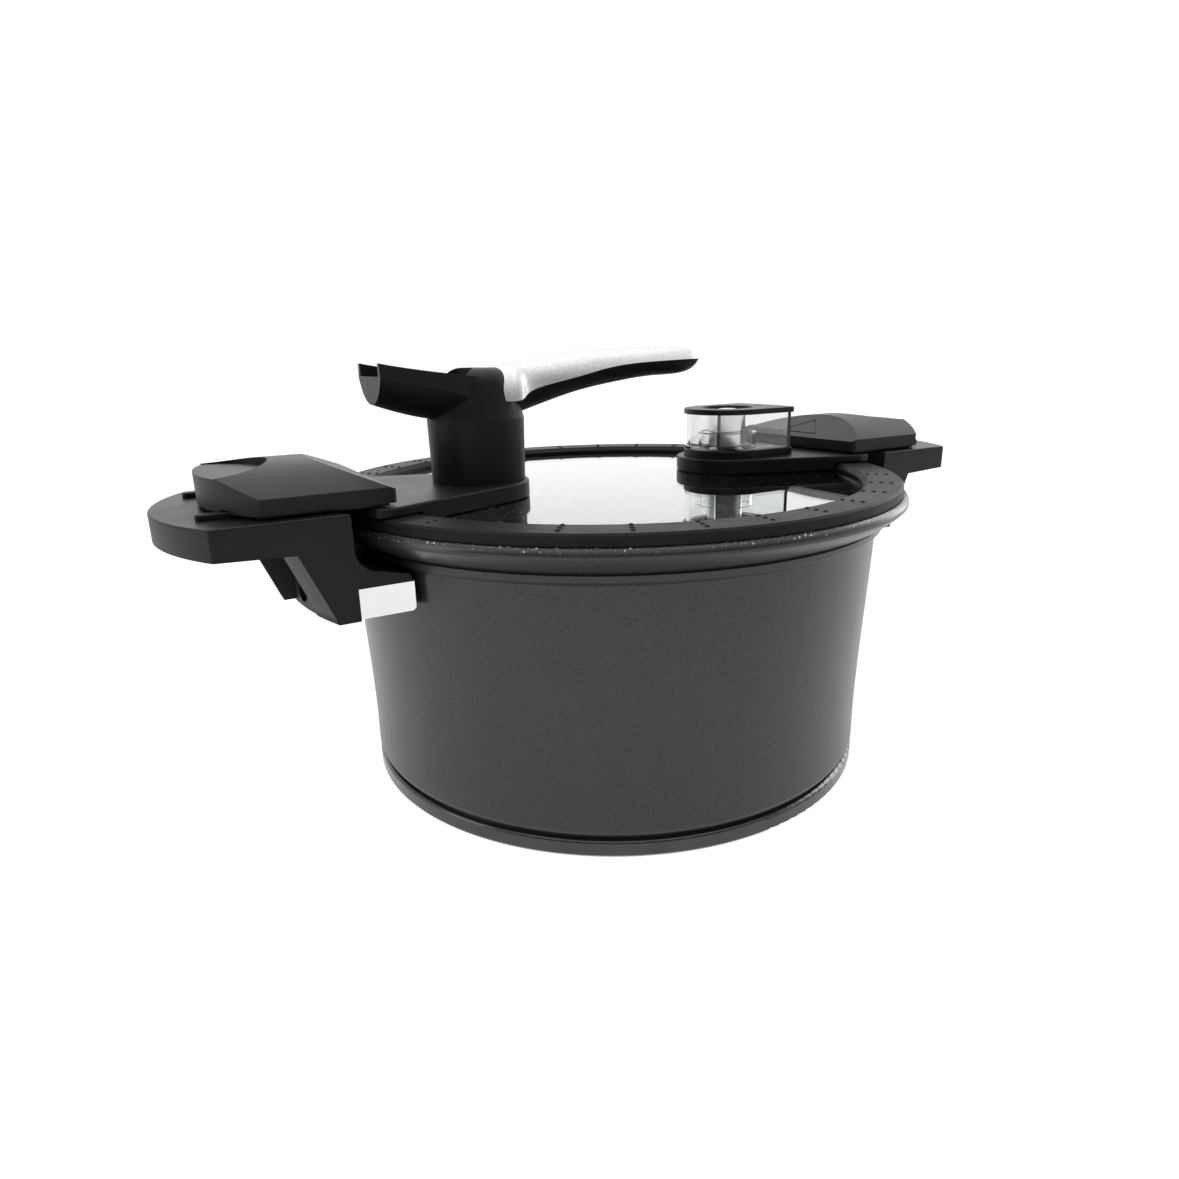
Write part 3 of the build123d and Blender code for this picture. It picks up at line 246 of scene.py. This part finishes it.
def metal(name, color, rough, along=(1, 1, 1), grain=900.0, depth=0.08):
    """Bare metal; the grain runs along the axes whose scale is smallest."""
    s = Surface(name)
    lines = s.noise(grain, 4, s.stretched(*along))
    cloud = s.noise(90, 4)
    s.set(base_color=s.mix(s.spread(cloud, 0.35, 0.65), tuple(c * 0.93 for c in color), color),
          metallic=1.0,
          roughness=s.math("ADD", s.spread(lines, 0.3, 0.7, rough * 0.7, rough * 1.3),
                           s.spread(cloud, 0.3, 0.7, -0.02, 0.02)),
          normal=s.bump(lines, depth, 0.0001))
    return s.material


def silicone(name, color):
    """Silicone rubber: soft gloss, very fine orange peel, a little dust."""
    s = Surface(name)
    dust = s.spread(s.noise(240, 5), 0.56, 0.74)
    dusty = tuple(c * 2.2 for c in color)
    s.set(base_color=s.mix(s.math("MULTIPLY", dust, 0.35), color, dusty),
          roughness=s.math("ADD", s.spread(s.noise(50, 3), 0.3, 0.7, 0.46, 0.54),
                           s.math("MULTIPLY", dust, 0.1)),
          specular_ior_level=0.2,
          normal=s.bump(s.noise(1900, 2), 0.07, 0.0001))
    return s.material


def clear(name, color, ior, rough, grime):
    """Glass or clear plastic; grime is the roughness that its smears add."""
    s = Surface(name)
    smear = s.spread(s.noise(30, 5, s.stretched(1, 2.5, 1)), 0.52, 0.75)
    s.set(base_color=color, transmission_weight=1.0, ior=ior,
          roughness=s.math("ADD", s.math("MULTIPLY", smear, grime), rough),
          normal=s.bump(s.noise(14, 2), 0.012, 0.001))
    return s.material


def button_plastic():
    """Pale smooth plastic that lets a little light in."""
    s = Surface("button_plastic")
    s.set(base_color=s.mix(s.spread(s.noise(400, 3), 0.3, 0.7), (0.74, 0.58, 0.58), (0.84, 0.70, 0.69)),
          roughness=s.spread(s.noise(160, 3), 0.3, 0.7, 0.3, 0.4),
          subsurface_weight=0.1, subsurface_scale=0.002,
          normal=s.bump(s.noise(1200, 2), 0.05, 0.0001))
    return s.material


MATERIALS = {
    "pot_paint": pot_paint(),
    "base_paint": base_metal(),
    "lug_metal": metal("lug_metal", (0.55, 0.55, 0.56), 0.42, grain=700.0, depth=0.2),
    "black_plastic": black_plastic(),
    "guard_chrome": metal("guard_chrome", (0.95, 0.95, 0.96), 0.10, along=(1, 1, 9),
                          grain=500.0, depth=0.02),
    "fastener_steel": metal("fastener_steel", (0.60, 0.60, 0.61), 0.30),
    "clamp_steel": metal("clamp_steel", (0.66, 0.66, 0.67), 0.26, along=(1, 14, 14)),
    "lid_glass": clear("lid_glass", (0.93, 0.975, 0.96), 1.52, 0.004, 0.01),
    "gasket_silicone": silicone("gasket_silicone", (0.010, 0.010, 0.011)),
    "pad_silicone": silicone("pad_silicone", (0.009, 0.009, 0.010)),
    "cover_silver": silver_paint(),
    "insert_brass": metal("insert_brass", (0.78, 0.58, 0.30), 0.28, along=(14, 14, 1)),
    "clear_plastic": clear("clear_plastic", (0.97, 0.98, 0.985), 1.49, 0.02, 0.05),
    "weight_steel": metal("weight_steel", (0.85, 0.85, 0.86), 0.14, along=(1, 1, 60),
                          grain=260.0, depth=0.05),
    "button_plastic": button_plastic(),
}
for row in frame["record"]["subparts"]:
    node = nodes[row["node"]]
    node.data.materials.clear()
    node.data.materials.append(MATERIALS[row["material_slot"]])

# ---- stage and light -------------------------------------------------------------------
FLOOR_HALF = 6.0       # half the side of the square floor
FLOOR_SEEN = 0.90      # its glow where the camera sees it: white, with the light that falls on it
FLOOR_MIRRORED = 0.62  # and its dimmer glow where the cooker reflects it
floor_mesh = bpy.data.meshes.new("floor")
corners = [(x * FLOOR_HALF, y * FLOOR_HALF, 0) for x, y in ((-1, -1), (1, -1), (1, 1), (-1, 1))]
floor_mesh.from_pydata(corners, [], [(0, 1, 2, 3)])
floor = bpy.data.objects.new("floor", floor_mesh)
scene.collection.objects.link(floor)
floor_surface = Surface("floor")
seen_directly = floor_surface.node("ShaderNodeLightPath").outputs["Is Camera Ray"]
floor_shade = floor_surface.mix(floor_surface.noise(3, 2), (0.30, 0.30, 0.30), (0.31, 0.31, 0.31))
floor_surface.set(base_color=floor_shade,
                  roughness=0.8, specular_ior_level=0.1, emission_color=(1.0, 1.0, 1.0),
                  emission_strength=floor_surface.spread(seen_directly, 0, 1, FLOOR_MIRRORED, FLOOR_SEEN))
floor_mesh.materials.append(floor_surface.material)

# the room: bright overhead and behind, dim in front, and plain white where the camera sees it
FRONT = (-0.52, -0.854)   # horizontal direction of the dim side
FRONT_LIGHT = 0.10
SIDE_LIGHT = 0.55
BACK_LIGHT = 1.55
TOP_LIGHT = 0.8
world = bpy.data.worlds.new("studio")
world.use_nodes = True
scene.world = world
background = world.node_tree.nodes["Background"]
background.inputs["Color"].default_value = (1.0, 1.0, 1.0, 1.0)


def world_node(kind, *values, **settings):
    """A node of the world with its first inputs, each of them a socket or a plain number."""
    made = add_node(world.node_tree, kind, **settings)
    for socket, value in zip(made.inputs, values):
        feed(world.node_tree, socket, value)
    return made


def world_math(operation, *values):
    return world_node("ShaderNodeMath", *values, operation=operation).outputs[0]


def world_ramp(value, low, high, to_low, to_high):
    """Value from low to high, eased to to_low to to_high."""
    made = world_node("ShaderNodeMapRange", value, low, high, to_low, to_high,
                      interpolation_type="SMOOTHSTEP")
    return made.outputs[0]


direction = world_node("ShaderNodeSeparateXYZ", world_node("ShaderNodeTexCoord").outputs["Generated"])
dx, dy, dz = direction.outputs
toward = world_math("ADD", world_math("MULTIPLY", dx, FRONT[0]), world_math("MULTIPLY", dy, FRONT[1]))
back_half = world_ramp(toward, -0.95, -0.25, BACK_LIGHT, SIDE_LIGHT)
ring = world_math("MULTIPLY", back_half, world_ramp(toward, -0.1, 0.65, 1.0, FRONT_LIGHT / SIDE_LIGHT))
overhead = world_ramp(dz, 0.35, 0.85, 0.0, 1.0)
room = world_math("ADD", world_math("MULTIPLY", ring, world_math("SUBTRACT", 1.0, overhead)),
                  world_math("MULTIPLY", overhead, TOP_LIGHT))
seen = world_node("ShaderNodeLightPath").outputs["Is Camera Ray"]
shown = world_math("ADD", world_math("MULTIPLY", room, world_math("SUBTRACT", 1.0, seen)), seen)
feed(world.node_tree, background.inputs["Strength"], shown)


def softbox(name, place, aim, size, power):
    """A large area light at place that points at aim."""
    data = bpy.data.lights.new(name, "AREA")
    data.shape = "RECTANGLE"
    data.size, data.size_y = size
    data.energy = power
    light = bpy.data.objects.new(name, data)
    light.location = place
    away = [a - p for a, p in zip(aim, place)]
    light.rotation_euler = Vector(away).to_track_quat("-Z", "Y").to_euler()
    scene.collection.objects.link(light)


softbox("top_softbox", (0.1, 0.2, 1.5), (0, 0, 0.1), (1.6, 1.6), 7.0)
softbox("left_softbox", (-1.5, 0.2, 0.6), (0, 0, 0.08), (0.6, 1.2), 4.0)
softbox("right_softbox", (1.6, 0.1, 0.6), (0, 0, 0.08), (0.6, 1.2), 6.0)
